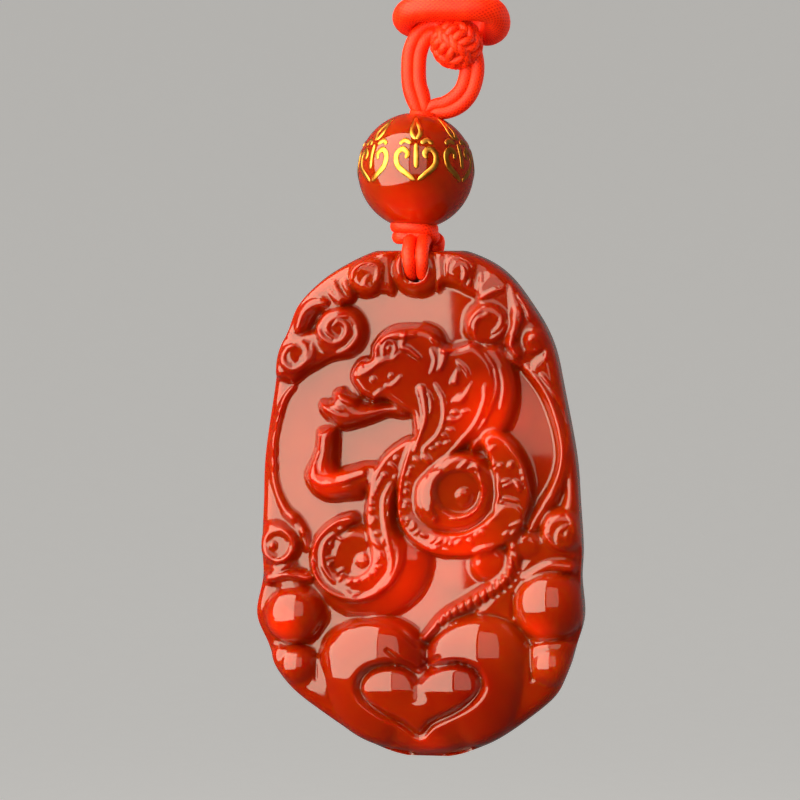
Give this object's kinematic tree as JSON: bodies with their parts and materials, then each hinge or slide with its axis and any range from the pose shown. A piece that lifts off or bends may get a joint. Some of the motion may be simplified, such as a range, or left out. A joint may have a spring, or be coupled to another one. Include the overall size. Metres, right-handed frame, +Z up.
{
  "type": "pendant necklace",
  "caption": "Necklace with a flat oval carved red agate pendant, a round agate bead above it and a knotted red cord neck loop.",
  "frame": {"origin": "inner top of the neck loop, where the back of the neck carries it", "axes": "+Z up along the hanging necklace, +X to the viewer's right, -Y the carved front of the pendant"},
  "size_m": [0.1252, 0.012, 0.3572],
  "materials": {
    "agate": "polished",
    "cord": "matte braided"
  },
  "bodies": {
    "necklace": {"bead": "agate", "tie_strand_left": "cord", "tie_strand_right": "cord", "tie_knot": "cord", "bore_cord": "cord", "ring_cord_left": "cord", "ring_cord_right": "cord", "button_knot": "cord", "hitch": "cord", "neck_cord_left": "cord", "neck_cord_right": "cord", "nape_knot": "cord"},
    "stone": {"pendant": "agate"}
  },
  "joints": [
    {"name": "pendant_swing", "type": "hinge", "parent": "necklace", "child": "stone", "pos_m": [-0.003, 0, -0.3023], "axis": [0, 1, 0], "range_deg": [-12, 12]}
  ]
}
